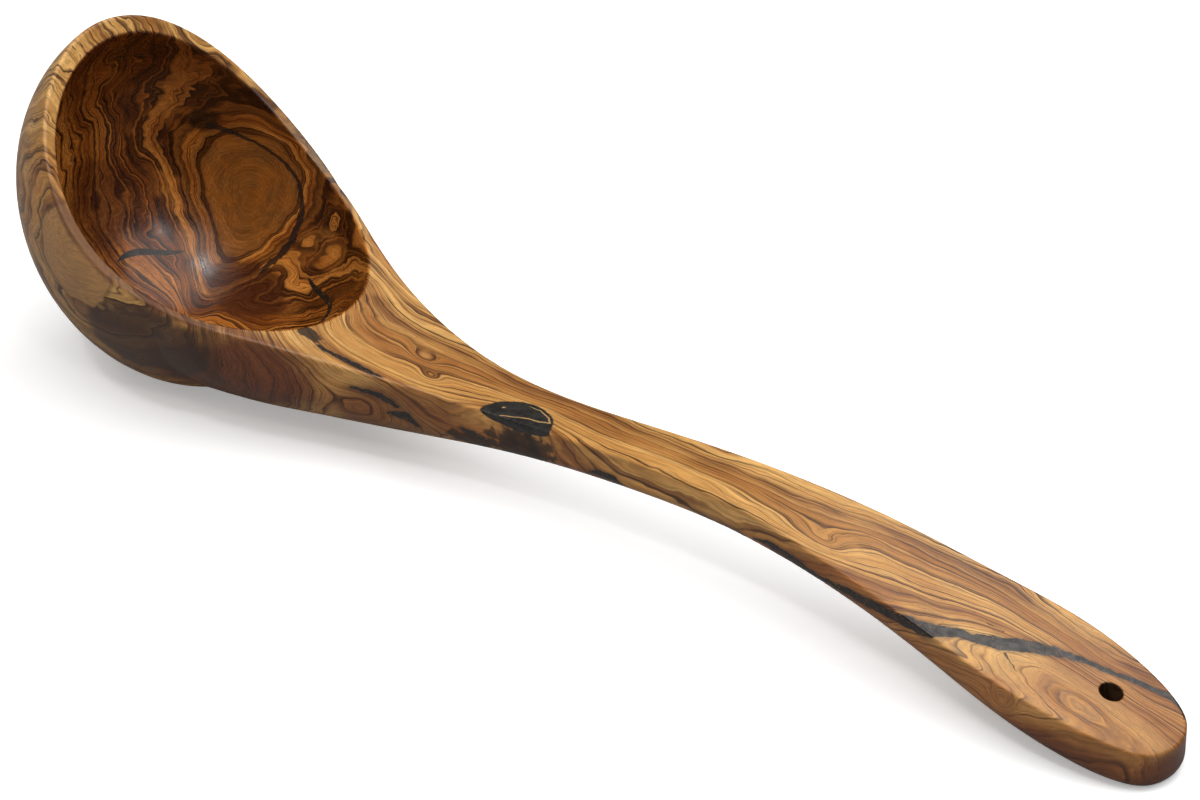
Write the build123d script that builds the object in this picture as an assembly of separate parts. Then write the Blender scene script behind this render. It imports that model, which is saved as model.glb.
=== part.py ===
from build123d import *
import os

os.makedirs("parts", exist_ok=True)

# Soup ladle carved from one blank of olive wood, lying on a table.
# +X runs from the bowl to the tip of the handle, +Z is up, the table is Z = 0
# and Y = 0 is the middle plane of the wood. Sizes are in millimetres.
# Shares in the tables are measured between two named corners of the drawing.

# Whole ladle
overall_length = 336.0

# Bowl outside: an egg that stands on the table
bowl_half_length = 46.2
bowl_half_width = 39.3
bowl_half_height = 50.3
rest_flat_depth = 0.3

# Bowl hollow: a shorter egg in front, a longer one towards the neck
side_wall = 3.0
front_wall = 4.2
floor_wall = 5.8
hollow_back_reach = 52.5

# Top line of the side view: steep rim, hollow of the neck, crown of the handle
rim_front_height = 89.6
rim_front_overhang = 28.5
neck_height = 29.0
neck_from_bowl = 97.7
crown_height = 32.7
crown_from_tip = 122.0
tip_top_height = 9.7
rim_line_shares = [
    (-0.15, 1.537),
    (0.12, 0.634),
    (0.196, 0.465),
    (0.272, 0.34),
    (0.425, 0.183),
    (0.578, 0.096),
    (0.808, 0.02),
]
rise_line_shares = [(0.486, 0.51)]
grip_line_shares = [(0.261, 0.113), (0.579, 0.426), (0.816, 0.713)]

# Underside line of the side view
handle_thickness = 9.4
tip_under_drop = 0.8
root_under_shares = [(0.135, 0.223), (0.267, 0.382), (0.499, 0.609), (0.69, 0.815), (0.863, 0.94)]
grip_under_shares = [(0.213, 0.03), (0.352, 0.125), (0.49, 0.29), (0.77, 0.7), (0.893, 0.885)]

# Outline of the top view, as half widths
neck_half_width = 7.6
narrowest_from_bowl = 128.7
grip_half_width = 16.4
widest_from_tip = 37.0
root_plan_shares = [
    (0.083, 0.047),
    (0.161, 0.139),
    (0.239, 0.274),
    (0.316, 0.432),
    (0.472, 0.697),
    (0.627, 0.874),
    (0.782, 0.97),
]
grip_plan_shares = [(0.177, 0.045), (0.339, 0.16), (0.5, 0.375), (0.661, 0.6), (0.823, 0.795)]
tip_plan_shares = [(0.486, 0.902), (0.757, 0.732), (0.919, 0.506)]

# Root of the handle: cross-sections between bowl and neck, each with its place
# along the root and how much of its half width and thickness is rounded off
root_section_shares = [
    (0.068, 0.96, 1.08),
    (0.161, 0.95, 1.05),
    (0.223, 0.88, 0.96),
    (0.3, 0.77, 0.82),
    (0.394, 0.69, 0.64),
    (0.518, 0.58, 0.48),
    (0.658, 0.51, 0.37),
    (0.814, 0.46, 0.34),
    (0.93, 0.45, 0.33),
]
root_tuck = 2.0

# Softened edges: where the rim is thin, its edges take no more than a share of it
under_edge_radius = 3.4
top_edge_radius = 1.0
rim_soft_share = 0.4

# Hanging hole, square to the top of the tip
hole_diameter = 5.5
hole_from_tip = 18.7
hole_off_middle = 1.4
hole_edge_radius = 0.4

# Black fills: splits and a void of the wood, filled with resin and sanded flush.
# Each has the half width of its widest place, the shares of its two ends on the
# wood, and a table of places along it: how far along, how far aside, how wide.
fill_depth = 2.6
bowl_fill_depth = 2.0
void_half_width = 8.7
void_end_shares = [(0.342, -1.023), (0.416, -0.997)]
void_shares = [
    (0.026, 0, 0.48),
    (0.079, 0, 0.75),
    (0.181, 0, 0.92),
    (0.328, 0, 1.0),
    (0.551, 0, 0.94),
    (0.755, 0, 0.7),
    (0.893, 0, 0.39),
]
seam_half_width = 2.2
seam_side_end_shares = [(0.62, 0.052), (0.779, 1.01)]
seam_side_shares = [
    (0.153, 0.007, 0.2),
    (0.285, 0.011, 0.27),
    (0.466, 0.006, 0.36),
    (0.647, 0.007, 0.5),
    (0.775, 0.017, 0.55),
    (0.871, 0.018, 0.5),
]
seam_top_end_shares = [(0.741, -1.104), (0.981, 1.281)]
seam_top_shares = [
    (0.076, -0.024, 0.45),
    (0.149, -0.039, 0.5),
    (0.229, -0.042, 0.59),
    (0.291, -0.036, 0.68),
    (0.359, -0.034, 0.77),
    (0.43, -0.03, 0.95),
    (0.492, -0.018, 1.0),
    (0.553, -0.004, 0.86),
    (0.621, 0.004, 0.59),
    (0.688, 0.005, 0.41),
    (0.756, 0.007, 0.36),
    (0.82, 0.007, 0.36),
    (0.88, 0.007, 0.36),
    (0.937, 0.004, 0.32),
]
branch_half_width = 1.0
branch_end_shares = [(0.591, 0.133), (0.664, 0.754)]
branch_shares = [(0.166, 0.022, 0.8), (0.365, 0.038, 1.0), (0.602, 0.031, 0.9), (0.791, 0.025, 0.5)]
shoulder_half_width = 1.0
shoulder_end_shares = [(0.177, -0.813), (0.247, -0.998)]
shoulder_shares = [(0.161, 0.02, 0.7), (0.376, 0.036, 1.0), (0.596, 0.022, 0.9), (0.791, 0.012, 0.6)]
upper_split_half_width = 0.8
upper_split_end_shares = [(0.222, 0.762), (0.266, 0.575)]
upper_split_shares = [(0.188, -0.015, 0.56), (0.471, 0.052, 0.69), (0.727, 0.073, 1.0), (0.868, 0.046, 0.87)]
lower_split_half_width = 1.2
lower_split_end_shares = [(0.255, 0.524), (0.284, 0.278)]
lower_split_shares = [(0.22, -0.024, 0.67), (0.432, 0.028, 1.0), (0.666, 0.078, 0.83), (0.839, 0.058, 0.5)]
edge_spot_half_width = 1.1
edge_spot_end_shares = [(0.455, 0.24), (0.489, 0.126)]
edge_spot_shares = [(0.241, 0.12, 0.82), (0.504, 0.189, 1.0), (0.771, 0.146, 0.82)]
bowl_split_half_width = 0.9
front_split_end_shares = [(-0.702, 0.061), (-0.471, 0.496)]
front_split_shares = [(0.182, 0.093, 0.89), (0.378, 0.108, 1.0), (0.583, 0.064, 0.83), (0.798, 0.019, 0.67)]
back_split_end_shares = [(0.314, 0.667), (0.556, 0.353)]
back_split_shares = [
    (0.127, 0.008, 0.56),
    (0.366, 0.084, 0.78),
    (0.598, 0.189, 0.89),
    (0.809, 0.259, 1.0),
    (0.949, 0.216, 1.0),
    (1.005, 0.131, 0.78),
]

# Waste wood that the saw cuts run out into
saw_allowance = 20.0

# Places that follow from the sizes
bowl_centre_x = bowl_half_length - overall_length / 2
bowl_centre_z = bowl_half_height - rest_flat_depth
tip_x = overall_length / 2
neck_x = bowl_centre_x + neck_from_bowl
crown_x = tip_x - crown_from_tip
narrowest_x = bowl_centre_x + narrowest_from_bowl
widest_x = tip_x - widest_from_tip
rim_front_x = bowl_centre_x - rim_front_overhang
hollow_front_reach = bowl_half_length - front_wall
hollow_half_width = bowl_half_width - side_wall
hollow_half_height = bowl_half_height - floor_wall
halvings = 40


def between(start, end, shares):
    """Points between two corners of the drawing, from shares of the way across and up."""
    return [
        (start[0] + across * (end[0] - start[0]), start[1] + up * (end[1] - start[1]))
        for across, up in shares
    ]


def share_at(line, x, last=1.0):
    """How far along a drawn line it reaches one place along X."""
    low, high = 0.0, last
    for _ in range(halvings):
        middle = (low + high) / 2
        if (line @ middle).X < x:
            low = middle
        else:
            high = middle
    return low


def egg(front, back, width, height):
    """An egg around the bowl's centre with its own reach forwards and backwards."""
    outline = [
        EllipticalCenterArc((0, 0), front, height, start_angle=90, arc_size=90),
        EllipticalCenterArc((0, 0), back, height, start_angle=0, arc_size=90),
        Line((-front, 0), (back, 0)),
    ]
    round_egg = revolve(make_face(outline), axis=Axis.X)
    return Pos(bowl_centre_x, 0, bowl_centre_z) * scale(round_egg, by=(1, width / height, 1))


# Side drawing: the top line and the underside line
# The saw comes in above the bowl, so that one smooth cut makes the whole rim
rim_front = (rim_front_x, rim_front_height)
neck_point = (neck_x, neck_height)
crown_point = (crown_x, crown_height)
tip_top = (tip_x, tip_top_height)
rim_points = [
    (rim_front_x + across * (neck_x - rim_front_x), neck_height + up * (rim_front_height - neck_height))
    for across, up in rim_line_shares
]
top_points = rim_points[:1] + [rim_front] + rim_points[1:] + [neck_point]
top_points += between(neck_point, crown_point, rise_line_shares) + [crown_point]
top_points += between(crown_point, tip_top, grip_line_shares) + [tip_top]
top_line = Spline(*[(x, 0, z) for x, z in top_points])

bowl_foot = (bowl_centre_x, 0)
crown_under = (crown_x, crown_height - handle_thickness)
tip_under = (tip_x, -tip_under_drop)
under_points = [bowl_foot] + between(bowl_foot, crown_under, root_under_shares) + [crown_under]
under_points += between(crown_under, tip_under, grip_under_shares) + [tip_under]
under_line = Spline(*[(x, 0, z) for x, z in under_points])

# Plan drawing: one closed curve from the bowl's side round the tip and back
bowl_side = (bowl_centre_x, bowl_half_width)
narrowest = (narrowest_x, neck_half_width)
widest = (widest_x, grip_half_width)
half_plan = [bowl_side] + between(bowl_side, narrowest, root_plan_shares) + [narrowest]
half_plan += between(narrowest, widest, grip_plan_shares) + [widest]
half_plan += [
    (widest_x + along * (tip_x - widest_x), wide * grip_half_width)
    for along, wide in tip_plan_shares
]
plan_line = Spline(*half_plan, (tip_x, 0), *[(x, -y) for x, y in reversed(half_plan)])


def top_at(x):
    """Height of the wood's top at one place along X."""
    return (top_line @ share_at(top_line, x)).Z


def under_at(x):
    """Height of the wood's underside at one place along X."""
    return (under_line @ share_at(under_line, x)).Z


def half_width_at(x):
    """Half width of the plan at one place along X."""
    return (plan_line @ share_at(plan_line, x, last=0.5)).Y


# Handle: sawn out of the board along both drawings, rounded underneath
board_top = rim_front_height + saw_allowance
handle_under = under_line.trim(share_at(under_line, narrowest_x), 1)
board_corners = [
    handle_under @ 1,
    (tip_x, 0, board_top),
    (narrowest_x, 0, board_top),
    handle_under @ 0,
]
side_face = make_face([handle_under, Polyline(*board_corners)])
side_board = extrude(Pos(0, -saw_allowance, 0) * side_face, amount=2 * saw_allowance, dir=(0, 1, 0))
plan_face = make_face([plan_line, Line(plan_line @ 1, plan_line @ 0)])
plan_block = extrude(
    Pos(0, 0, -saw_allowance) * plan_face,
    amount=board_top + 2 * saw_allowance,
    dir=(0, 0, 1),
)
handle = side_board & plan_block
under_edges = handle.edges().filter_by(lambda edge: edge.center().Z < crown_height)
under_edges = under_edges.filter_by(lambda edge: edge.bounding_box().size.X > (tip_x - narrowest_x) / 2)
handle = fillet(under_edges, under_edge_radius)


# Root: lofted from a round section inside the bowl to the handle's own section
def root_section(place, round_width, round_height, tuck=0):
    """One upright section through the root: flat sides, rounded below."""
    x = bowl_centre_x + place * narrowest_from_bowl
    side = half_width_at(x) - tuck
    low = under_at(x) + tuck
    flat = side * (1 - round_width)
    rounded = (top_at(x) - low) * round_height
    with BuildSketch(Plane((x, 0, 0), x_dir=(0, 1, 0), z_dir=(1, 0, 0))) as section:
        with BuildLine():
            Line((-flat, low), (flat, low))
            EllipticalCenterArc((flat, low + rounded), side - flat, rounded, start_angle=270, arc_size=90)
            Line((side, low + rounded), (side, board_top))
            Line((side, board_top), (-side, board_top))
            Line((-side, board_top), (-side, low + rounded))
            EllipticalCenterArc((-flat, low + rounded), side - flat, rounded, start_angle=180, arc_size=90)
        make_face()
    return section.sketch.faces()[0]


join_corners = handle.faces().sort_by(Axis.X)[0].vertices()
join_low = under_at(narrowest_x)
join_flat = max(corner.Y for corner in join_corners.group_by(Axis.Z)[0])
join_side = min(corner.Z for corner in join_corners.group_by(Axis.Y)[-1])
join_rounded = (join_side - join_low) / (top_at(narrowest_x) - join_low)
root_sections = [root_section(*root_section_shares[0], tuck=root_tuck)]
root_sections += [root_section(*shares) for shares in root_section_shares[1:]]
root_sections.append(root_section(1, 1 - join_flat / neck_half_width, join_rounded))
root = loft(root_sections)

# Bowl, root and handle are one wood, sawn off above the top line
wood = egg(bowl_half_length, bowl_half_length, bowl_half_width, bowl_half_height) + root + handle
cut_top = 2 * rim_front_height
cut_end = tip_x + saw_allowance
cut_corners = [
    top_line @ 1,
    (cut_end, 0, tip_top_height),
    (cut_end, 0, cut_top),
    (-cut_end, 0, cut_top),
    top_line @ 0,
]
cut_face = make_face([top_line, Polyline(*cut_corners)])
wood -= extrude(Pos(0, -tip_x, 0) * cut_face, amount=2 * tip_x, dir=(0, 1, 0))

# The bowl's foot and the tip are sanded flat on the table
wood -= Pos(0, 0, -saw_allowance / 2) * Box(2 * overall_length, overall_length, saw_allowance)

# Hollow of the bowl
wood -= egg(hollow_front_reach, hollow_back_reach, hollow_half_width, hollow_half_height)

# Rim, arris and inner lip softened all round
wood = wood.solids()[0]
sawn_faces = [face for face in wood.faces() if face.normal_at().Z > 0]
sawn_top = max(sawn_faces, key=lambda face: face.bounding_box().size.X)
rim_outline = sawn_top.outer_wire()
rim_lip = sawn_top.inner_wires()[0]
rim_radius = min(top_edge_radius, rim_outline.distance_to(rim_lip) * rim_soft_share)
wood = wood.fillet(rim_radius, rim_outline.edges() + rim_lip.edges())

# Hanging hole with softened mouths
hole_x = tip_x - hole_from_tip
top_run = top_line % share_at(top_line, hole_x)
hole_plane = Plane(
    origin=(hole_x, hole_off_middle, top_at(hole_x)),
    x_dir=(0, 1, 0),
    z_dir=(-top_run.Z, 0, top_run.X),
)
wood -= hole_plane * Cylinder(hole_diameter / 2, 2 * saw_allowance)
wood = wood.solids()[0]
hole_mouths = wood.edges().filter_by(lambda edge: edge.is_closed)
hole_mouths = hole_mouths.filter_by(lambda edge: edge.center().X > widest_x)
wood = wood.fillet(hole_edge_radius, hole_mouths)


# Splits and the void: each tool is a leaf-shaped prism that enters the wood
def leaf(places):
    """A closed face round a bent middle line with pointed ends."""
    left, right = [], []
    for before, here, after in zip(places, places[1:], places[2:]):
        run = Vector(after[0] - before[0], after[1] - before[1]).normalized()
        left.append((here[0] - run.Y * here[2], here[1] + run.X * here[2]))
        right.append((here[0] + run.Y * here[2], here[1] - run.X * here[2]))
    start, end = places[0][:2], places[-1][:2]
    return make_face([Spline(start, *left, end), Spline(end, *reversed(right), start)])


def split_tool(ends, outward, shares, half_width, depth):
    """Prism from one end place to the other, sunk into the wood by its depth."""
    start, end = [Vector(*place) for place in ends]
    length = (end - start).length
    run = (end - start).normalized()
    up = Vector(*outward) - run * run.dot(Vector(*outward))
    places = [(0, 0, 0)]
    places += [(along * length, aside * length, wide * half_width) for along, aside, wide in shares]
    places += [(length, 0, 0)]
    floor = Plane(origin=start, x_dir=run, z_dir=up).offset(-depth)
    return extrude(floor * leaf(places), amount=depth + saw_allowance, dir=up)


def on_top(along, across):
    """Place on the sawn top, from its shares of the length and half width."""
    x = bowl_centre_x + along * (tip_x - bowl_centre_x)
    return (x, across * half_width_at(x), top_at(x))


def on_side(along, up):
    """Place on the near side, from its shares of the length and thickness."""
    x = bowl_centre_x + along * (tip_x - bowl_centre_x)
    return (x, -half_width_at(x), under_at(x) + up * (top_at(x) - under_at(x)))


def in_hollow(along, across):
    """Place low in the bowl's hollow, from its shares of the hollow's half sizes."""
    reach = hollow_front_reach if along < 0 else hollow_back_reach
    drop = (1 - along**2 - across**2) ** 0.5
    return (
        bowl_centre_x + along * reach,
        across * hollow_half_width,
        bowl_centre_z - drop * hollow_half_height,
    )


def top_split(end_shares, shares, half_width):
    """Tool for a split seen on the sawn top."""
    ends = [on_top(*place) for place in end_shares]
    return split_tool(ends, (0, 0, 1), shares, half_width, fill_depth)


def side_split(end_shares, shares, half_width):
    """Tool for a split seen on the near side."""
    ends = [on_side(*place) for place in end_shares]
    return split_tool(ends, (0, -1, 0), shares, half_width, fill_depth)


def bowl_split(end_shares, shares, outward):
    """Tool for a split inside the bowl, no deeper than its depth below the hollow."""
    ends = [in_hollow(*place) for place in end_shares]
    prism = split_tool(ends, outward, shares, bowl_split_half_width, saw_allowance)
    deeper = egg(
        hollow_front_reach + bowl_fill_depth,
        hollow_back_reach + bowl_fill_depth,
        hollow_half_width + bowl_fill_depth,
        hollow_half_height + bowl_fill_depth,
    )
    return prism & deeper


seam_on_side = side_split(seam_side_end_shares, seam_side_shares, seam_half_width)
seam_on_top = top_split(seam_top_end_shares, seam_top_shares, seam_half_width)
front_split_lean = (0.63, -0.36, 0.69)
back_split_lean = (-0.41, -0.64, 0.65)
fill_tools = {
    "neck_void_fill": top_split(void_end_shares, void_shares, void_half_width),
    "handle_seam_fill": seam_on_side + seam_on_top,
    "handle_branch_fill": side_split(branch_end_shares, branch_shares, branch_half_width),
    "shoulder_split_fill": top_split(shoulder_end_shares, shoulder_shares, shoulder_half_width),
    "upper_side_split_fill": side_split(upper_split_end_shares, upper_split_shares, upper_split_half_width),
    "lower_side_split_fill": side_split(lower_split_end_shares, lower_split_shares, lower_split_half_width),
    "edge_spot_fill": side_split(edge_spot_end_shares, edge_spot_shares, edge_spot_half_width),
    "bowl_front_split_fill": bowl_split(front_split_end_shares, front_split_shares, front_split_lean),
    "bowl_back_split_fill": bowl_split(back_split_end_shares, back_split_shares, back_split_lean),
}

# Every fill takes exactly the wood that its split took away
for node, tool in fill_tools.items():
    fill = wood & tool
    wood = wood - tool
    export_step(fill, f"parts/{node}.step")
export_step(wood, "parts/ladle_body.step")
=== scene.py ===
# %% [markdown]
# # A carved soup ladle of olive wood
#
# The ladle is one piece of olive wood: an egg-shaped bowl, a root that narrows to
# the neck, and a long arched handle with a hanging hole. Its faults are filled with
# black resin and sanded flush. The solids come ready from the CAD model, so this
# lesson is about light, camera and above all about a wood that is cut from one
# imagined log: the figure is worked out in space, not painted on the surface, and
# therefore it runs on round every edge, as in real carving.

import bpy
from mathutils import Matrix, Vector

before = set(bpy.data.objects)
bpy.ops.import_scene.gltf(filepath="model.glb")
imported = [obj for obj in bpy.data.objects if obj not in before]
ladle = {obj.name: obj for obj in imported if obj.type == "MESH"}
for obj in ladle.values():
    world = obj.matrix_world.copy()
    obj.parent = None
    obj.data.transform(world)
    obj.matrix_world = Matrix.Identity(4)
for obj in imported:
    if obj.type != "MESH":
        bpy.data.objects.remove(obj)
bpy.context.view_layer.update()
scene = bpy.context.scene
print("pieces:", sorted(ladle))

# %% [markdown]
# ## The camera
#
# The photograph looks down on the ladle from the front right, through a long lens,
# with the bowl at the far left. A camera can be aimed at a target by a constraint,
# or by three directions: which way is right, up and back. The directions are used
# here, because they were worked out together from points of the ladle.

# %% The camera's place and directions
camera_place = Vector((0.552207, -0.710548, 0.632294))
to_the_right = Vector((0.797605, 0.603081, -0.010942))
upwards = Vector((-0.325849, 0.446076, 0.833570))
backwards = Vector((0.507592, -0.661294, 0.552305))

lens = bpy.data.cameras.new("photographer")
lens.sensor_width = 36
lens.lens = 135.86
lens.clip_start = 0.05
lens.clip_end = 20
camera = bpy.data.objects.new("photographer", lens)
scene.collection.objects.link(camera)
turned = Matrix((to_the_right, upwards, backwards)).transposed().to_4x4()
camera.matrix_world = Matrix.Translation(camera_place) @ turned
scene.camera = camera
print("camera is", round(camera_place.length, 2), "m from the middle of the ladle")

# %% [markdown]
# ## Words for shader nodes
#
# The wood takes many small sums, and the white paper takes a few. Wiring each by hand
# hides what they mean, so short helpers do the wiring: every one makes a node, plugs
# in what it is given, numbers or sockets alike, and hands back the result's socket.


# %% Helpers for numbers
def plug(tree, value, socket):
    """Puts a number, a colour or another node's result into a socket."""
    if isinstance(value, bpy.types.NodeSocket):
        tree.links.new(value, socket)
    else:
        socket.default_value = value


def sum_of(tree, kind, *values):
    """One step of arithmetic."""
    step = tree.nodes.new("ShaderNodeMath")
    step.operation = kind
    for place, value in enumerate(values):
        plug(tree, value, step.inputs[place])
    return step.outputs[0]


def times(tree, first, second):
    """One value times another."""
    return sum_of(tree, "MULTIPLY", first, second)


print("numbers can be added and multiplied")


# %% Helpers for positions, soft steps and colours
def arrow_sum(tree, kind, *values):
    """One step of arithmetic on positions or directions."""
    step = tree.nodes.new("ShaderNodeVectorMath")
    step.operation = kind
    for place, value in enumerate(values):
        plug(tree, value, step.inputs[place])
    return step.outputs["Value" if kind in ("LENGTH", "DOT_PRODUCT", "DISTANCE") else "Vector"]


def ease(tree, value, start, end, low=0.0, high=1.0):
    """A soft step from low to high while the value goes from start to end."""
    step = tree.nodes.new("ShaderNodeMapRange")
    step.interpolation_type = "SMOOTHSTEP"
    for place, given in enumerate((value, start, end, low, high)):
        plug(tree, given, step.inputs[place])
    return step.outputs[0]


def blend_colour(tree, share, first, second, kind="MIX"):
    """First colour where the share is 0, second where it is 1."""
    step = tree.nodes.new("ShaderNodeMix")
    step.data_type = "RGBA"
    step.blend_type = kind
    plug(tree, share, step.inputs[0])
    plug(tree, first, step.inputs[6])
    plug(tree, second, step.inputs[7])
    return step.outputs[2]


print("positions can be added, values eased, colours blended")

# %% [markdown]
# ## A plain studio
#
# The ladle lies on white paper that has no visible end. One very wide lamp hangs
# almost over it: it lights the top of the handle, leaves the sides and the hollow in
# shade, and throws the soft shadow right under the ladle. A weak lamp far behind adds
# a little sheen to the faces that look up and back, and two small lamps in front add
# the gleams low in the hollow. The room itself gives a dim, even light, and is white
# for the camera.
#
# The paper has to come out white and still keep the shadow. More light would bleach
# the wood, so the camera sees the paper whiter than the ladle does, and for the
# camera the paper glows a little: weakly round the ladle, where the shadow is, and
# fully far away, where no lamp reaches.

# %% Light from the room
scene.view_settings.view_transform = "Standard"
light_of_room, white_of_room = 0.09, 1
room = bpy.data.worlds.new("pale room")
room.use_nodes = True
scene.world = room
room_tree = room.node_tree
room_tree.nodes.clear()
room_seen = room_tree.nodes.new("ShaderNodeLightPath")
room_choice = room_tree.nodes.new("ShaderNodeMixShader")
plug(room_tree, room_seen.outputs["Is Camera Ray"], room_choice.inputs[0])
for place, strength in enumerate((light_of_room, white_of_room)):
    background = room_tree.nodes.new("ShaderNodeBackground")
    background.inputs["Color"].default_value = (1, 1, 1, 1)
    background.inputs["Strength"].default_value = strength
    plug(room_tree, background.outputs[0], room_choice.inputs[place + 1])
room_end = room_tree.nodes.new("ShaderNodeOutputWorld")
plug(room_tree, room_choice.outputs[0], room_end.inputs["Surface"])
print("room light", light_of_room, "and", white_of_room, "for the camera")


# %% Lamps
def lamp(name, place, target, width, height, power):
    """A rectangular lamp that looks at a target."""
    light = bpy.data.lights.new(name, "AREA")
    light.shape = "RECTANGLE"
    light.size = width
    light.size_y = height
    light.energy = power
    holder = bpy.data.objects.new(name, light)
    scene.collection.objects.link(holder)
    holder.location = place
    look = Vector(target) - Vector(place)
    holder.rotation_euler = look.to_track_quat("-Z", "Y").to_euler()
    return holder


lamps = [
    # name, place, target, width and height in metres, power in watts
    lamp("wide lamp above", (0.24, -0.17, 1.2), (0, 0, 0.02), 2.0, 1.5, 20),
    lamp("weak lamp behind", (-0.03, 0.89, 0.97), (0.1, 0, 0.02), 0.6, 0.4, 2.4),
    lamp("small lamp in front", (-0.05, -0.62, 1.15), (-0.12, 0, 0.03), 0.1, 0.1, 2.0),
    lamp("small lamp at the right", (0.72, -0.52, 0.86), (-0.15, 0, 0.02), 0.08, 0.08, 1.0),
]
print("lamps:", [holder.name for holder in lamps])

# %% White paper
paper_mesh = bpy.data.meshes.new("paper")
reach = 6.0
paper_mesh.from_pydata(
    [(-reach, -reach, 0), (reach, -reach, 0), (reach, reach, 0), (-reach, reach, 0)],
    [],
    [(0, 1, 2, 3)],
)
paper = bpy.data.objects.new("paper", paper_mesh)
scene.collection.objects.link(paper)
paper.location.z = -0.0003
print("paper is", 2 * reach, "m wide")

# %% The paper's tone
tone_for_light, tone_for_camera = 0.34, 0.95
paper_look = bpy.data.materials.new("white paper")
paper_look.use_nodes = True
paper_tree = paper_look.node_tree
paper_tree.nodes.clear()
paper_seen = paper_tree.nodes.new("ShaderNodeLightPath").outputs["Is Camera Ray"]
for_light = (tone_for_light, tone_for_light, tone_for_light, 1)
for_camera = (tone_for_camera, tone_for_camera, tone_for_camera, 1)
paper_tone = blend_colour(paper_tree, paper_seen, for_light, for_camera)
paper_matt = paper_tree.nodes.new("ShaderNodeBsdfDiffuse")
plug(paper_tree, paper_tone, paper_matt.inputs["Color"])
paper_mesh.materials.append(paper_look)
print("the ladle sees paper of", tone_for_light, "and the camera", tone_for_camera)

# %% The paper's glow
near_end, far_start, glow_near, glow_far = 0.45, 1.1, 0.34, 1.0
paper_place = paper_tree.nodes.new("ShaderNodeTexCoord").outputs["Object"]
paper_far = arrow_sum(paper_tree, "LENGTH", paper_place)
paper_fade = ease(paper_tree, paper_far, near_end, far_start, glow_near, glow_far)
paper_glow = paper_tree.nodes.new("ShaderNodeEmission")
paper_glow.inputs["Color"].default_value = (1, 1, 1, 1)
plug(paper_tree, times(paper_tree, paper_seen, paper_fade), paper_glow.inputs["Strength"])
paper_sum = paper_tree.nodes.new("ShaderNodeAddShader")
plug(paper_tree, paper_matt.outputs[0], paper_sum.inputs[0])
plug(paper_tree, paper_glow.outputs[0], paper_sum.inputs[1])
paper_end = paper_tree.nodes.new("ShaderNodeOutputMaterial")
plug(paper_tree, paper_sum.outputs[0], paper_end.inputs["Surface"])
print("the paper glows by", glow_near, "near the ladle and", glow_far, "far away")

# %% [markdown]
# ## Groups and clouds
#
# A node group keeps one effect in one place, with named inputs and outputs, so that
# several materials can use it with values of their own. A cloud gives smooth chance
# values, over space or along one number. The whole wood is built from these two.


# %% Helpers for groups and clouds
def new_group(name, given, results):
    """A group with named inputs and outputs; hands back its tree and both ends."""
    tree = bpy.data.node_groups.new(name, "ShaderNodeTree")
    kinds = {"number": "NodeSocketFloat", "vector": "NodeSocketVector", "colour": "NodeSocketColor"}
    for title, kind, start in given:
        socket = tree.interface.new_socket(title, in_out="INPUT", socket_type=kinds[kind])
        socket.default_value = start
    for title, kind in results:
        tree.interface.new_socket(title, in_out="OUTPUT", socket_type=kinds[kind])
    start = tree.nodes.new("NodeGroupInput")
    end = tree.nodes.new("NodeGroupOutput")
    return tree, start.outputs, end.inputs


def use(tree, group, **given):
    """Places a group and fills its inputs; words in names are joined by underscores."""
    step = tree.nodes.new("ShaderNodeGroup")
    step.node_tree = group
    for title, value in given.items():
        plug(tree, value, step.inputs[title.replace("_", " ").capitalize()])
    return step.outputs


def cloud(tree, position, scale=1.0, detail=0.0, kind="3D"):
    """Smooth chance values around one half, over space or along one number."""
    step = tree.nodes.new("ShaderNodeTexNoise")
    step.noise_dimensions = kind
    plug(tree, position, step.inputs["W" if kind == "1D" else "Vector"])
    step.inputs["Scale"].default_value = scale
    step.inputs["Detail"].default_value = detail
    return step.outputs["Fac"]


print("groups can be made and used")

# %% [markdown]
# ## How a log becomes a figure
#
# Olive grows slowly and crookedly. Its yearly layers lie nearly upright along this
# ladle, one behind the other from the near side to the far side, but they bend round
# knots and dents. A figure could be painted on each face, but it would break at every
# edge. So every point of the wood gets one number, its layer: its place across the
# ladle in millimetres plus some waves and bulges. Where a carved face cuts many
# layers the lines run close together, as on the top of the handle. Where it only
# grazes them, they open into wide rings. Two groups make the bends: a wave that is
# everywhere, and a bulge at one place.

# %% Group: wave in the layers
wave_tree, wave_in, wave_out = new_group(
    "wave in the layers",
    [
        ("Position", "vector", (0, 0, 0)),
        ("Reach", "vector", (60, 40, 30)),
        ("Height", "number", 8.0),
    ],
    [("Shift", "number")],
)
stretched = arrow_sum(wave_tree, "DIVIDE", wave_in["Position"], wave_in["Reach"])
swing = sum_of(wave_tree, "SUBTRACT", cloud(wave_tree, stretched), 0.5)
plug(wave_tree, times(wave_tree, swing, wave_in["Height"]), wave_out["Shift"])
print(wave_tree.name, len(wave_tree.nodes), "nodes")

# %% Group: bulge in the layers
bulge_tree, bulge_in, bulge_out = new_group(
    "bulge in the layers",
    [
        ("Position", "vector", (0, 0, 0)),
        ("Centre", "vector", (0, 0, 0)),
        ("Reach", "vector", (10, 10, 10)),
        ("Height", "number", 3.0),
    ],
    [("Shift", "number")],
)
from_centre = arrow_sum(bulge_tree, "SUBTRACT", bulge_in["Position"], bulge_in["Centre"])
scaled = arrow_sum(bulge_tree, "DIVIDE", from_centre, bulge_in["Reach"])
squared = arrow_sum(bulge_tree, "DOT_PRODUCT", scaled, scaled)
falling = sum_of(bulge_tree, "EXPONENT", times(bulge_tree, squared, -1.0))
plug(bulge_tree, times(bulge_tree, falling, bulge_in["Height"]), bulge_out["Shift"])
print(bulge_tree.name, len(bulge_tree.nodes), "nodes")

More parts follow.
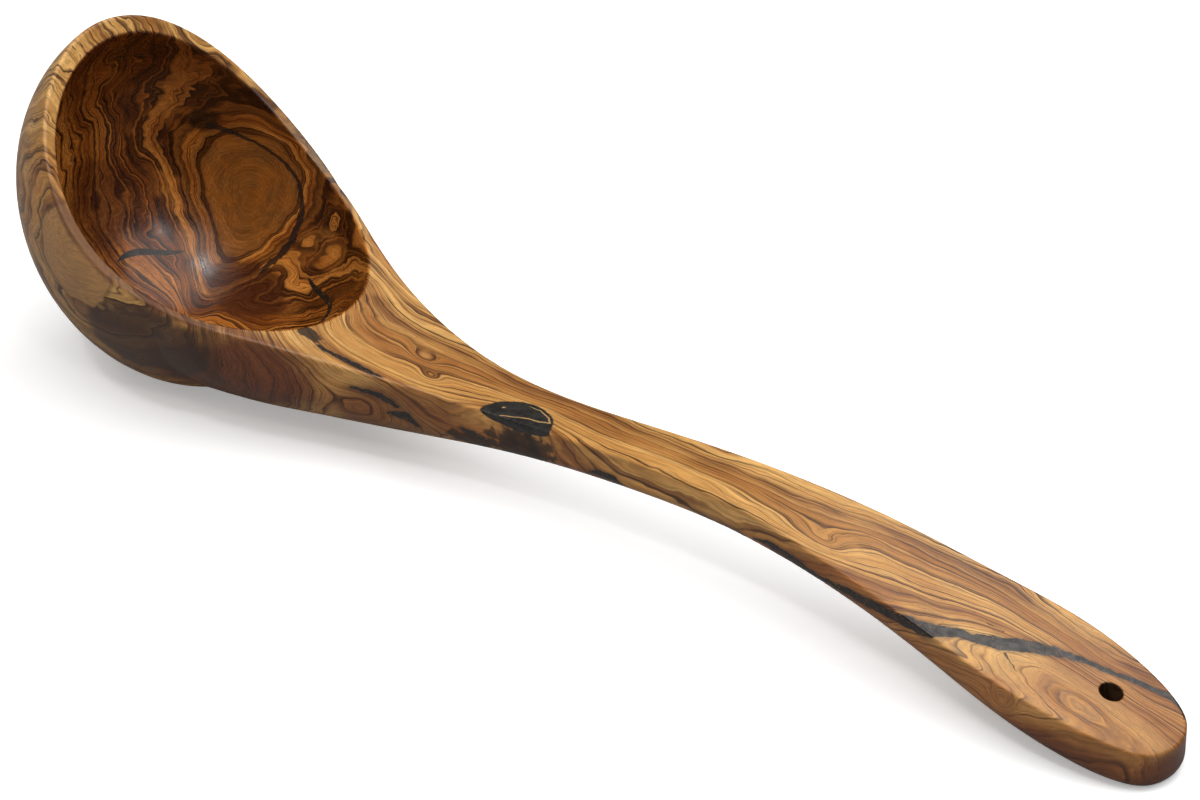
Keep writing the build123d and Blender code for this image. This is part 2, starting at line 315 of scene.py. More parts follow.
# %% [markdown]
# The dark line at the end of a year has one sharp side and one that fades. Evenly
# spaced stripes would look like printed foil, so the lines sit at chance places and
# each has a strength of its own. A cell pattern along one number gives just that: the
# nearest chance place, and a chance colour for it.

# %% Group: year lines
line_tree, line_in, line_out = new_group(
    "year lines",
    [
        ("Layer", "number", 0.0),
        ("Spacing", "number", 2.0),
        ("Sharp side", "number", 0.1),
        ("Fading side", "number", 0.6),
    ],
    [("Line", "number"), ("Chance", "number")],
)
counted = sum_of(line_tree, "DIVIDE", line_in["Layer"], line_in["Spacing"])
nearest = line_tree.nodes.new("ShaderNodeTexVoronoi")
nearest.voronoi_dimensions = "1D"
nearest.inputs["Scale"].default_value = 1
line_tree.links.new(counted, nearest.inputs["W"])
away = sum_of(line_tree, "SUBTRACT", counted, nearest.outputs["W"])
away = times(line_tree, away, line_in["Spacing"])
behind = sum_of(line_tree, "MAXIMUM", away, 0.0)
before = sum_of(line_tree, "MAXIMUM", times(line_tree, away, -1.0), 0.0)
fading = ease(line_tree, behind, 0.0, line_in["Fading side"], 1.0, 0.0)
sharp = ease(line_tree, before, 0.0, line_in["Sharp side"], 1.0, 0.0)
plug(line_tree, times(line_tree, fading, sharp), line_out["Line"])
chance = line_tree.nodes.new("ShaderNodeSeparateColor")
line_tree.links.new(nearest.outputs["Color"], chance.inputs[0])
plug(line_tree, chance.outputs[0], line_out["Chance"])
print(line_tree.name, len(line_tree.nodes), "nodes")

# %% [markdown]
# Knots, stains and pale patches have a place in the wood. A mask for such a place is
# an egg round a centre whose edge wanders a little.


# %% A helper that resizes a position
def resized(tree, position, factor):
    """A position or direction times one factor."""
    step = tree.nodes.new("ShaderNodeVectorMath")
    step.operation = "SCALE"
    plug(tree, position, step.inputs[0])
    plug(tree, factor, step.inputs["Scale"])
    return step.outputs[0]


print("positions can be resized")

# %% Group: place in the wood
place_tree, place_in, place_out = new_group(
    "place in the wood",
    [
        ("Position", "vector", (0, 0, 0)),
        ("Centre", "vector", (0, 0, 0)),
        ("Reach", "vector", (10, 10, 10)),
        ("Softness", "number", 0.3),
        ("Wander", "number", 0.3),
        ("Wander size", "number", 5.0),
    ],
    [("Mask", "number")],
)
place_arm = arrow_sum(place_tree, "SUBTRACT", place_in["Position"], place_in["Centre"])
place_arm = arrow_sum(place_tree, "DIVIDE", place_arm, place_in["Reach"])
place_far = arrow_sum(place_tree, "LENGTH", place_arm)
coarseness = sum_of(place_tree, "DIVIDE", 1.0, place_in["Wander size"])
wander_at = resized(place_tree, place_in["Position"], coarseness)
wandering = sum_of(place_tree, "SUBTRACT", cloud(place_tree, wander_at, detail=2.0), 0.5)
wandering = times(place_tree, wandering, place_in["Wander"])
place_far = sum_of(place_tree, "ADD", place_far, wandering)
inner_edge = sum_of(place_tree, "SUBTRACT", 1.0, place_in["Softness"])
outer_edge = sum_of(place_tree, "ADD", 1.0, place_in["Softness"])
plug(place_tree, ease(place_tree, place_far, inner_edge, outer_edge, 1.0, 0.0), place_out["Mask"])
print(place_tree.name, len(place_tree.nodes), "nodes")


# %% A helper that masks a place
def mask_at(tree, position, centre, reach, softness, wander, wander_size):
    """1 inside an egg round a centre, 0 outside it."""
    return use(
        tree,
        place_tree,
        position=position,
        centre=centre,
        reach=reach,
        softness=softness,
        wander=wander,
        wander_size=wander_size,
    )["Mask"]


print("places can be masked")

# %% [markdown]
# Splits and cracks are drawn as strokes: from a start to an end, with a width at
# each. A stroke answers how far outside its edge a point lies, in millimetres, so
# that several strokes make one bent split by taking the smallest answer.

# %% Group: stroke
stroke_tree, stroke_in, stroke_out = new_group(
    "stroke",
    [
        ("Position", "vector", (0, 0, 0)),
        ("Start", "vector", (0, 0, 0)),
        ("End", "vector", (10, 0, 0)),
        ("Start width", "number", 0.3),
        ("End width", "number", 0.3),
    ],
    [("Outside by", "number")],
)
run = arrow_sum(stroke_tree, "SUBTRACT", stroke_in["End"], stroke_in["Start"])
arm = arrow_sum(stroke_tree, "SUBTRACT", stroke_in["Position"], stroke_in["Start"])
arm_on_run = arrow_sum(stroke_tree, "DOT_PRODUCT", arm, run)
run_on_run = arrow_sum(stroke_tree, "DOT_PRODUCT", run, run)
along = sum_of(stroke_tree, "DIVIDE", arm_on_run, run_on_run)
along = sum_of(stroke_tree, "MINIMUM", sum_of(stroke_tree, "MAXIMUM", along, 0.0), 1.0)
gap = arrow_sum(stroke_tree, "DISTANCE", arm, resized(stroke_tree, run, along))
widening = sum_of(stroke_tree, "SUBTRACT", stroke_in["End width"], stroke_in["Start width"])
half = sum_of(stroke_tree, "MULTIPLY_ADD", along, widening, stroke_in["Start width"])
plug(stroke_tree, sum_of(stroke_tree, "SUBTRACT", gap, half), stroke_out["Outside by"])
print(stroke_tree.name, len(stroke_tree.nodes), "nodes")


# %% Helpers that draw a bent split
def smallest(tree, answers):
    """The smallest of several values, each compared as soon as it is made."""
    found = None
    for answer in answers:
        found = answer if found is None else sum_of(tree, "MINIMUM", found, answer)
    return found


def stroke_outside(tree, position, first, second):
    """How far outside one stroke a point is; its ends give x, y, z and half width."""
    return use(
        tree,
        stroke_tree,
        position=position,
        start=first[:3],
        end=second[:3],
        start_width=first[3],
        end_width=second[3],
    )["Outside by"]


def split_line(tree, position, stops):
    """How far outside a bent line of strokes a point is."""
    pairs = zip(stops, stops[1:])
    return smallest(tree, (stroke_outside(tree, position, *pair) for pair in pairs))


print("splits can be drawn")

# %% [markdown]
# ## The layers of this ladle
#
# Now the layer number itself. In the handle the layers lean a little, so that its
# sides show lines too. In the far wall of the hollow they close into an egg, the eye:
# it has directions of its own, and near it the layer number blends into the distance
# from its edge. Long waves bend all layers gently and shorter ones make them shiver,
# more in the bowl than in the handle, and less near the eye, which has to keep its
# outline. Then come the bulges: the knots beside the neck and on the handle, and the
# tongue of rings round the hanging hole. All of it is one group, because the wood,
# its lines and its eye share it.


# %% Helpers that take positions apart
def parts_of(tree, position):
    """The x, y and z of a position."""
    step = tree.nodes.new("ShaderNodeSeparateXYZ")
    plug(tree, position, step.inputs[0])
    return step.outputs[0], step.outputs[1], step.outputs[2]


def joined(tree, *numbers):
    """A position or direction from its x, y and z."""
    step = tree.nodes.new("ShaderNodeCombineXYZ")
    for place, value in enumerate(numbers):
        plug(tree, value, step.inputs[place])
    return step.outputs[0]


print("positions can be taken apart and joined")

# %% Group: layers of this ladle
layer_tree, layer_in, layer_out = new_group(
    "layers of this ladle",
    [("Position", "vector", (0, 0, 0))],
    [
        ("Layer", "number"),
        ("In the bowl", "number"),
        ("In the eye", "number"),
        ("Near the eye", "number"),
    ],
)
at = layer_in["Position"]
along_x, across_y, up_z = parts_of(layer_tree, at)
bowl_end, handle_start = -100.0, -60.0
in_bowl = ease(layer_tree, along_x, bowl_end, handle_start, 1.0, 0.0)
in_handle = sum_of(layer_tree, "SUBTRACT", 1.0, in_bowl)
# in the handle the layers lean, so that they also show on its sides
handle_crossing, handle_lean = 0.75, 0.45
crossing = sum_of(layer_tree, "MULTIPLY_ADD", in_handle, handle_crossing - 1, 1.0)
lean = times(layer_tree, in_handle, handle_lean)
layer = times(layer_tree, across_y, crossing)
layer = sum_of(layer_tree, "MULTIPLY_ADD", up_z, lean, layer)
print("layers in the handle lean by", handle_lean)

# %% Layers: the eye in the far wall
eye_centre = (-130.0, 30.3, 32.4)
# the eye's own directions and its reach in each: up along the wall, across it, into it
eye_sides = [
    ((0.05, 0.33, 0.94), 16.4),
    ((0.985, 0.1, -0.13), 13.4),
    ((-0.14, 0.93, -0.32), 24.0),
]
eye_edge = 30.0
eye_narrowing = 0.4
eye_size = 13.0
eye_pull_from, eye_pull_to = 3.0, 24.0
eye_arm = arrow_sum(layer_tree, "SUBTRACT", at, eye_centre)
eye_shares = []
for direction, eye_reach in eye_sides:
    way = arrow_sum(layer_tree, "DOT_PRODUCT", eye_arm, direction)
    eye_shares.append(sum_of(layer_tree, "DIVIDE", way, eye_reach))
# wide above, narrow below
narrower = sum_of(layer_tree, "MULTIPLY_ADD", eye_shares[0], eye_narrowing, 1.0)
eye_shares[1] = sum_of(layer_tree, "DIVIDE", eye_shares[1], narrower)
eye_far = arrow_sum(layer_tree, "LENGTH", joined(layer_tree, *eye_shares))
outside_eye = sum_of(layer_tree, "MULTIPLY_ADD", eye_far, eye_size, -eye_size)
near_eye = ease(layer_tree, outside_eye, eye_pull_from, eye_pull_to, 1.0, 0.0)
eye_layer = sum_of(layer_tree, "SUBTRACT", eye_edge, outside_eye)
to_eye = sum_of(layer_tree, "SUBTRACT", eye_layer, layer)
layer = sum_of(layer_tree, "MULTIPLY_ADD", to_eye, near_eye, layer)
print("eye is about", 2 * eye_sides[0][1], "mm high")

# %% Layers: waves and bulges
waves = [
    # reach, height in the handle, height in the bowl, share that stays at the eye
    ((85, 40, 34), 9.0, 14.0, 0.0),
    ((30, 13, 12), 3.6, 7.5, 0.25),
    ((10, 4.4, 4.6), 1.3, 2.8, 0.8),
    ((3.4, 1.6, 1.7), 0.36, 0.8, 1.0),
]
for reach_of_wave, handle_height, bowl_height, at_eye in waves:
    shift = use(layer_tree, wave_tree, position=at, reach=reach_of_wave, height=1.0)["Shift"]
    height = sum_of(layer_tree, "MULTIPLY_ADD", in_bowl, bowl_height - handle_height, handle_height)
    calm = sum_of(layer_tree, "MULTIPLY_ADD", near_eye, at_eye - 1, 1.0)
    height = times(layer_tree, height, calm)
    layer = sum_of(layer_tree, "MULTIPLY_ADD", shift, height, layer)
bulges = [
    ((-123, -40, 52), (20, 16, 18), -3.0),
    ((-66, -22, 26), (16, 9, 9), -6.0),
    ((-52, -15.5, 22), (9, 6, 7), -6.0),
    ((-47, 0.1, 30), (5, 2.2, 4), 3.0),
    ((-41, -5.0, 30), (4, 2.2, 4), 2.5),
    ((-13, -6.0, 29), (16, 7.5, 9), -6.0),
    ((34, -4.0, 31), (24, 3.5, 8), -3.0),
    ((75, -6.6, 30), (9, 3.5, 6), 4.0),
    ((131.6, -17, 15.9), (3.3, 3, 3), 4.5),
    ((136, -5.0, 14), (34, 9.5, 14), -14.0),
]
for centre, reach_of_bulge, height in bulges:
    bulge = use(
        layer_tree, bulge_tree, position=at, centre=centre, reach=reach_of_bulge, height=height
    )
    layer = sum_of(layer_tree, "ADD", layer, bulge["Shift"])
eye_value = sum_of(layer_tree, "SUBTRACT", layer, eye_edge)
plug(layer_tree, layer, layer_out["Layer"])
plug(layer_tree, in_bowl, layer_out["In the bowl"])
plug(layer_tree, eye_value, layer_out["In the eye"])
plug(layer_tree, near_eye, layer_out["Near the eye"])
print(layer_tree.name, len(layer_tree.nodes), "nodes,", len(bulges), "bulges")

# %% [markdown]
# ## Fibres and pores
#
# Seen close, the wood has fine fibres along the ladle and short open pores. They
# shift the colour a little, break up the gloss and can be felt, so the group gives
# a tone and a height.

# %% Group: fibres
fibre_tree, fibre_in, fibre_out = new_group(
    "fibres",
    [("Position", "vector", (0, 0, 0)), ("Layer", "number", 0.0)],
    [("Tone", "number"), ("Pores", "number"), ("Height", "number")],
)
# how often they change in a millimetre: along the ladle, across the layers, upwards
streaks_along, streaks_across, streaks_up = 0.09, 2.6, 0.9
pore_rate = (0.22, 4.2, 4.2)
pore_from, pore_full = 0.68, 0.78
fibre_x, _, fibre_z = parts_of(fibre_tree, fibre_in["Position"])
streak_at = joined(
    fibre_tree,
    times(fibre_tree, fibre_x, streaks_along),
    times(fibre_tree, fibre_in["Layer"], streaks_across),
    times(fibre_tree, fibre_z, streaks_up),
)
streaks = cloud(fibre_tree, streak_at, detail=2.0)
pore_at = arrow_sum(fibre_tree, "MULTIPLY", fibre_in["Position"], pore_rate)
pores = ease(fibre_tree, cloud(fibre_tree, pore_at), pore_from, pore_full)
relief_here = sum_of(fibre_tree, "SUBTRACT", times(fibre_tree, streaks, 0.5), pores)
plug(fibre_tree, streaks, fibre_out["Tone"])
plug(fibre_tree, pores, fibre_out["Pores"])
plug(fibre_tree, relief_here, fibre_out["Height"])
print(fibre_tree.name, len(fibre_tree.nodes), "nodes")


# %% [markdown]
# ## Olive wood
#
# The colours are written as an eye would name them on a screen and turned into the
# linear values that a shader wants. The wood is laid on in the order in which one
# sees it: honey ground and its broad light and dark bands, the strong year lines,
# the fine ones, then stains and patches, and last the fibres. It all goes into one
# group that gives a colour, a gloss and a height, because the fills need it too:
# where a fault is narrower than its recess, wood shows at the fill's edge.


# %% Colours of the wood
def seen_colour(red, green, blue):
    """A colour as a screen shows it, from 0 to 255, made linear for the shader."""
    parts = [value / 255 for value in (red, green, blue)]
    linear = [
        part / 12.92 if part <= 0.04045 else ((part + 0.055) / 1.055) ** 2.4 for part in parts
    ]
    return (*linear, 1.0)


light_wood = seen_colour(224, 173, 102)
honey_wood = seen_colour(200, 144, 76)
amber_wood = seen_colour(164, 104, 48)
umber_wood = seen_colour(156, 93, 46)
dark_umber = seen_colour(114, 62, 32)
deep_umber = seen_colour(86, 48, 27)
brown_wood = seen_colour(112, 61, 27)
red_brown = seen_colour(92, 52, 32)
amber_brown = seen_colour(138, 84, 42)
line_brown = seen_colour(66, 33, 15)
stain_brown = seen_colour(48, 29, 20)
patch_tan = seen_colour(172, 132, 82)
pale_tan = seen_colour(188, 138, 84)
umber_stain = seen_colour(70, 46, 33)
crack_black = seen_colour(32, 25, 21)
print("honey is", [round(part, 3) for part in honey_wood[:3]])

# %% Group: olive wood, position and layer
wood_tree, wood_in, wood_out = new_group(
    "olive wood",
    [("Position", "vector", (0, 0, 0))],
    [("Colour", "colour"), ("Gloss", "number"), ("Height", "number")],
)
spot = wood_in["Position"]
spot_along, _, spot_height = parts_of(wood_tree, spot)
layers = use(wood_tree, layer_tree, position=spot)
layer_number = layers["Layer"]
print("wood works in millimetres")

# %% Olive wood: ground tone
slow_bands, quick_bands = 0.11, 0.5
drift_reach, drift_share = (36, 9, 9), 0.9
broad_a = cloud(wood_tree, times(wood_tree, layer_number, slow_bands), kind="1D")
broad_b = cloud(wood_tree, times(wood_tree, layer_number, quick_bands), kind="1D", detail=1.0)
drift = cloud(wood_tree, arrow_sum(wood_tree, "DIVIDE", spot, drift_reach), detail=2.0)
tone = sum_of(wood_tree, "ADD", broad_b, broad_a)
tone = sum_of(wood_tree, "MULTIPLY_ADD", drift, drift_share, tone)
ground = blend_colour(wood_tree, ease(wood_tree, tone, 1.15, 1.6), light_wood, honey_wood)
ground = blend_colour(wood_tree, ease(wood_tree, tone, 1.5, 2.05), ground, amber_wood)
print("ground laid")

# %% [markdown]
# The near side of the root and the neck, and the end of the grip, are browner wood
# than the top, and they are darkened further with painted shade, since these faces
# turn away from the lamp above. These zones have soft edges, and the lines run on
# through them.

# %% Olive wood: browner zones with painted shade
# the near-side and low grip-end zones are partly browner wood, partly painted shade
browner_and_shaded_zones = [
    # centre, reach, colour, strength
    ((-84, -26, 22), (36, 9, 16), dark_umber, 1.0),
    ((-40, -14, 20), (30, 5.5, 9), dark_umber, 0.8),
    ((0, -11, 20), (32, 4.5, 8), umber_wood, 0.8),
    ((62, -13, 22), (45, 4.5, 8), umber_wood, 0.75),
    ((108, -19, 16), (28, 7, 8), umber_wood, 0.8),
    ((148, -20, 5), (30, 10, 9), deep_umber, 1.0),
    ((170, -2, 1), (12, 24, 9), deep_umber, 1.0),
    ((150, -2, 12), (26, 30, 12), umber_wood, 0.5),
]
zone_edge = {"softness": 0.3, "wander": 0.5, "wander_size": 9.0}
for centre, reach_of_zone, colour, strength in browner_and_shaded_zones:
    mask = mask_at(wood_tree, spot, centre, reach_of_zone, **zone_edge)
    ground = blend_colour(wood_tree, times(wood_tree, mask, strength), ground, colour)
print(len(browner_and_shaded_zones), "browner zones")

# %% [markdown]
# Over the ground run the lines, in seven kinds: soft brown bands some millimetres
# apart, the dark lines of the years, and hair lines between them. One kind alone
# looks drawn. The kinds differ in spacing, and most read another stretch of the layer
# numbers, so that their places don't agree. Each has its own strength in the handle
# and in the bowl, and a slow cloud weakens all of them here and there.

# %% Olive wood: brown bands and year lines
patch_reach = (30, 6, 7)
weakest = 0.5
line_kinds = [
    # spacing, sharp side, fading side, chance from, chance to, handle, bowl, added, colour
    (6.0, 0.4, 2.8, 0.2, 0.75, 0.75, 0.75, 0.0, brown_wood),
    (3.1, 0.35, 1.3, 0.2, 0.85, 0.65, 0.3, 5.3, amber_brown),
    (3.5, 0.2, 1.2, 0.2, 0.6, 0.0, 0.97, 13.9, line_brown),
    (2.1, 0.12, 0.6, 0.0, 0.5, 0.95, 0.97, 0.0, line_brown),
    (1.0, 0.09, 0.28, 0.0, 0.7, 0.9, 0.8, 31.7, line_brown),
    (0.5, 0.07, 0.18, 0.1, 0.9, 0.65, 0.45, 57.3, brown_wood),
    (0.3, 0.05, 0.1, 0.4, 0.9, 0.0, 0.6, 71.9, line_brown),
]
in_the_bowl = layers["In the bowl"]
coloured = ground
patchy = cloud(wood_tree, arrow_sum(wood_tree, "DIVIDE", spot, patch_reach), detail=1.0)
patchiness = ease(wood_tree, patchy, 0.36, 0.54, weakest, 1.0)
for spacing, sharp_side, fading_side, *rest in line_kinds:
    from_chance, to_chance, on_handle, on_bowl, added, colour = rest
    lines = use(
        wood_tree,
        line_tree,
        layer=sum_of(wood_tree, "ADD", layer_number, added),
        spacing=spacing,
        sharp_side=sharp_side,
        fading_side=fading_side,
    )
    chosen = ease(wood_tree, lines["Chance"], from_chance, to_chance)
    line_share = times(wood_tree, times(wood_tree, lines["Line"], chosen), patchiness)
    strength = sum_of(wood_tree, "MULTIPLY_ADD", in_the_bowl, on_bowl - on_handle, on_handle)
    line_share = times(wood_tree, line_share, strength)
    coloured = blend_colour(wood_tree, line_share, coloured, colour)
print(len(line_kinds), "kinds of line laid")

# %% [markdown]
# Inside the hollow the figure is bolder: the end grain of the egg drank more oil, so
# its dark layers went darker and its light ones glow. The mask for the hollow is the
# hollow's own egg with a hair's breadth more. A curve on the finished colour would
# bleach the stains too, so the contrast is taken from the brightness of the colour
# laid so far: lighter wood is made lighter still, and dark lines darker.

# %% Olive wood: where the hollow is
hollow_centre = (-121.8, 0, 50)
front_reach, back_reach, side_reach, down_reach = 42.0, 52.5, 36.3, 44.5
hollow_arm = arrow_sum(wood_tree, "SUBTRACT", spot, hollow_centre)
to_back, to_side, to_top = parts_of(wood_tree, hollow_arm)
in_front = sum_of(wood_tree, "LESS_THAN", to_back, 0.0)
reach_here = sum_of(wood_tree, "MULTIPLY_ADD", in_front, front_reach - back_reach, back_reach)
hollow_shares = joined(
    wood_tree,
    sum_of(wood_tree, "DIVIDE", to_back, reach_here),
    sum_of(wood_tree, "DIVIDE", to_side, side_reach),
    sum_of(wood_tree, "DIVIDE", to_top, down_reach),
)
hollow_far = arrow_sum(wood_tree, "LENGTH", hollow_shares)
in_hollow = ease(wood_tree, hollow_far, 1.004, 1.02, 1.0, 0.0)
print("the hollow reaches", front_reach, "mm forwards and", back_reach, "mm back")

# %% Olive wood: bolder inside the hollow
dark_level, light_level = 0.05, 0.36
dark_factor, light_factor = 0.65, 1.5
brightness = wood_tree.nodes.new("ShaderNodeRGBToBW")
wood_tree.links.new(coloured, brightness.inputs[0])
bolder = ease(
    wood_tree, brightness.outputs[0], dark_level, light_level, dark_factor, light_factor
)
bold_colour = blend_colour(wood_tree, 1.0, coloured, bolder, "MULTIPLY")
coloured = blend_colour(wood_tree, in_hollow, coloured, bold_colour)
print("the hollow is bolder")

# %% [markdown]
# The eye in the far wall is a pale place with a bold dark outline, a lighter ring
# outside that, and a second dark line. The layer number counts down from the eye's
# edge, so all of them are steps of that one number and keep their distance.

# %% Olive wood: the eye
eye_value = layers["In the eye"]
near_eye_here = ease(wood_tree, layers["Near the eye"], 0.55, 0.8)
eye_inside = times(wood_tree, ease(wood_tree, eye_value, -0.1, 0.3), near_eye_here)
eye_cloud = cloud(wood_tree, arrow_sum(wood_tree, "DIVIDE", spot, (5, 5, 5)), detail=3.0)
eye_colour = blend_colour(wood_tree, ease(wood_tree, eye_cloud, 0.35, 0.65), patch_tan, honey_wood)
eye_colour = blend_colour(wood_tree, 0.16, eye_colour, line_brown)
coloured = blend_colour(wood_tree, times(wood_tree, eye_inside, 0.88), coloured, eye_colour)
print("the eye is pale")

# %% Olive wood: the lines round the eye
# the outline is wide towards the bowl's front and narrow towards the neck
narrow_outline, wide_outline = -1.3, -3.4
second_fades_out, second_darkest, second_starts = -6.6, -4.4, -4.0
outline_end = ease(wood_tree, spot_along, -124.0, -140.0, narrow_outline, wide_outline)
outline = ease(wood_tree, eye_value, outline_end, 0.0)
outline = times(wood_tree, outline, ease(wood_tree, eye_value, 0.0, 0.35, 1.0, 0.0))
second_line = ease(wood_tree, eye_value, second_fades_out, second_darkest)
second_start = ease(wood_tree, eye_value, second_darkest, second_starts, 1.0, 0.0)
second_line = times(wood_tree, second_line, second_start)
eye_lines = sum_of(wood_tree, "MAXIMUM", outline, times(wood_tree, second_line, 0.9))
eye_lines = times(wood_tree, eye_lines, near_eye_here)
coloured = blend_colour(wood_tree, times(wood_tree, eye_lines, 0.93), coloured, line_brown)
print("the eye has two dark lines")

# %% [markdown]
# Some places of this ladle are known one by one: the tan patch on the near outside
# with its dark outline and the dark area beside it, the red-brown crescent under the
# eye, and the black stains that seep from the faults at the neck. Each is one mask,
# laid in this order, with an edge that wanders as coarsely as the real one does.

# %% Olive wood: patches and stains
patches = [
    # centre, reach, softness, wander, its size, colour, strength
    ((-108, -34, 28), (18, 10, 13), 0.12, 0.45, 5.0, umber_stain, 0.85),
    ((-92, -31, 28), (3.5, 8, 12), 0.2, 1.0, 4.0, stain_brown, 0.45),
    ((-126, -38, 50), (12.8, 9.3, 14.3), 0.07, 0.28, 5.0, line_brown, 0.7),
    ((-126, -38, 50), (12, 8.7, 13.5), 0.05, 0.28, 5.0, pale_tan, 0.88),
    ((-122, 19, 12.5), (13, 7.5, 7), 0.12, 0.35, 5.0, red_brown, 0.75),
    ((-158, 4, 32), (8, 11, 13), 0.25, 0.45, 5.0, red_brown, 0.6),
    ((-144, 31, 50), (4.2, 5, 3.2), 0.3, 1.0, 3.0, crack_black, 0.85),
    ((-73, -12.5, 34), (5, 1.6, 2.5), 0.2, 1.6, 2.2, crack_black, 0.9),
    ((-25, -9, 19.5), (7, 3, 2.5), 0.15, 1.8, 2.2, crack_black, 0.85),
    ((-11, -7.8, 22.5), (9, 2.5, 6), 0.2, 1.9, 2.4, crack_black, 0.85),
    # red-brown wood low on the grip's near side and end, darkened further as painted shade near the
    # paper
    ((147, -19, 4), (28, 8, 7), 0.35, 0.6, 7.0, red_brown, 0.5),
    ((171, -2, 2), (7, 22, 8), 0.3, 0.5, 6.0, red_brown, 0.6),
]
for *egg, colour, strength in patches:
    mask = mask_at(wood_tree, spot, *egg)
    coloured = blend_colour(wood_tree, times(wood_tree, mask, strength), coloured, colour)
print(len(patches), "patches and stains")

# %% [markdown]
# The near lip of the bowl was cut into a dark layer, so the narrow land between the
# outside and the hollow is red-brown there. It follows the rim, which a round mask
# can't, so it is a stroke through stops on the rim.

# %% Olive wood: the dark lip
lip_stops = [
    (-138.0, -35.0, 70.5, 0.4),
    (-131.0, -36.8, 62.8, 1.5),
    (-125.6, -37.6, 57.2, 2.0),
    (-116.0, -37.5, 49.6, 2.0),
    (-106.0, -35.8, 44.6, 1.8),
    (-97.0, -32.8, 40.2, 1.3),
    (-89.0, -29.0, 37.8, 0.4),
]
lip_by = split_line(wood_tree, spot, lip_stops)
lip_share = times(wood_tree, ease(wood_tree, lip_by, -0.7, 0.7, 1.0, 0.0), 0.75)
coloured = blend_colour(wood_tree, lip_share, coloured, red_brown)
print("the dark lip has", len(lip_stops), "stops")

# %% [markdown]
# All of the hollow is a deeper, redder brown than the outside. Partly this is the
# wood's own colour, where more oil soaked in, and partly it is painted shade of the
# recess. High up under the rim, where the far wall overhangs and lies in shade, more
# painted shade is added. A tint multiplies the colour for each.

# %% Olive wood: oil and painted shade in the hollow
# partly the oiled wood's own colour, partly painted shade of the hollow
oil_and_shade_tint = (0.5, 0.335, 0.18, 1)
# painted shade high up under the overhanging rim
shade_under_rim_tint, shade_under_rim_share = (0.5, 0.4, 0.35, 1), 0.85
shade_under_rim_from, shade_under_rim_to = 48.0, 74.0
coloured = blend_colour(wood_tree, in_hollow, coloured, oil_and_shade_tint, "MULTIPLY")
shade_under_rim_here = ease(wood_tree, spot_height, shade_under_rim_from, shade_under_rim_to, 0.0, shade_under_rim_share)
painted_shade_under_rim = times(wood_tree, in_hollow, shade_under_rim_here)
coloured = blend_colour(wood_tree, painted_shade_under_rim, coloured, shade_under_rim_tint, "MULTIPLY")
print("the hollow drank more oil")

# %% [markdown]
# The fibres come last, over all colours. They also break up the gloss: oiled and
# polished by hand, the wood is satin, smoother inside the hollow where the cloth goes
# round and round, and duller on the dark lip.

# %% Olive wood: fibres, gloss and relief
darkest_streak, lightest_streak = 0.8, 1.2
glossiest, dullest = 0.3, 0.42
fibres = use(wood_tree, fibre_tree, position=spot, layer=layer_number)
streak = ease(wood_tree, fibres["Tone"], 0.25, 0.75, darkest_streak, lightest_streak)
coloured = blend_colour(wood_tree, 1.0, coloured, streak, "MULTIPLY")
coloured = blend_colour(wood_tree, times(wood_tree, fibres["Pores"], 0.3), coloured, line_brown)
plug(wood_tree, coloured, wood_out["Colour"])
gloss_here = ease(wood_tree, fibres["Tone"], 0.2, 0.8, glossiest, dullest)
gloss_here = sum_of(wood_tree, "MULTIPLY_ADD", in_hollow, -0.1, gloss_here)
gloss_here = sum_of(wood_tree, "MULTIPLY_ADD", lip_share, 0.3, gloss_here)
plug(wood_tree, gloss_here, wood_out["Gloss"])
plug(wood_tree, fibres["Height"], wood_out["Height"])
print("olive wood has", len(wood_tree.nodes), "nodes")

# %% [markdown]
# ## Where the faults run
#
# The recesses in the solids have clean outlines. Real splits do not: they fray along
# the fibres. So the black is drawn once more as strokes in space, with a frayed
# edge, and both the wood and the fills show it. Fine cracks that were too thin to
# fill are strokes as well, and so are the dark line on the eye's lid and the dark
# wall of the drilled hole.

